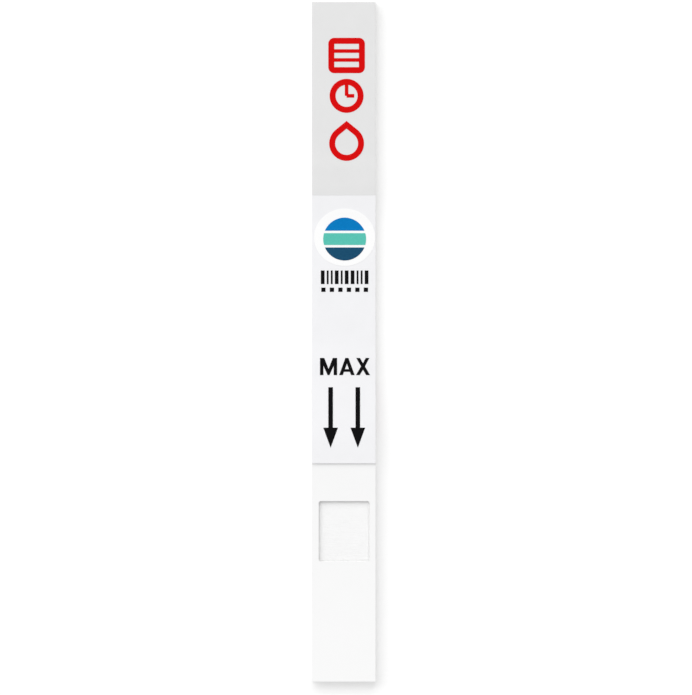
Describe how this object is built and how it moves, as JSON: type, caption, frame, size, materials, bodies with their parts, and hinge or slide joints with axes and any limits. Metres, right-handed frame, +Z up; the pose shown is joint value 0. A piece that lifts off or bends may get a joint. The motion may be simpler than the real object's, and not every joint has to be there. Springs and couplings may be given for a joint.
{
  "type": "drug test strip",
  "caption": "Flat laminated dip strip with a grey handle field, a printed cover film with arrows, and a die-cut window over its sample pad.",
  "frame": {"origin": "middle of the strip's footprint, on the underside of its backing card", "axes": "+X across the strip, +Y along it towards the handle end, +Z up out of its printed face"},
  "size_m": [0.0074, 0.08, 0.0012],
  "materials": {
    "card_plastic": "satin",
    "nitrocellulose": "matte",
    "glass_fibre": "matte",
    "cotton_paper": "matte",
    "blotting_paper": "matte",
    "cover_plastic": "satin",
    "film_plastic": "satin",
    "grey_label": "satin",
    "ink_red": "satin",
    "ink_white": "satin",
    "ink_blue": "satin",
    "ink_navy": "satin",
    "ink_teal": "satin",
    "ink_black": "satin"
  },
  "bodies": {
    "root": {"backing_card": "card_plastic", "membrane": "nitrocellulose", "conjugate_pad": "glass_fibre", "sample_pad": "cotton_paper", "absorbent_pad": "blotting_paper", "window_cover": "cover_plastic", "printed_film": "film_plastic", "handle_label": "grey_label", "handle_marks": "ink_red", "emblem_patch": "ink_white", "emblem_blue": "ink_blue", "emblem_navy": "ink_navy", "emblem_teal": "ink_teal", "code_print": "ink_black", "arrows": "ink_black"}
  },
  "joints": []
}
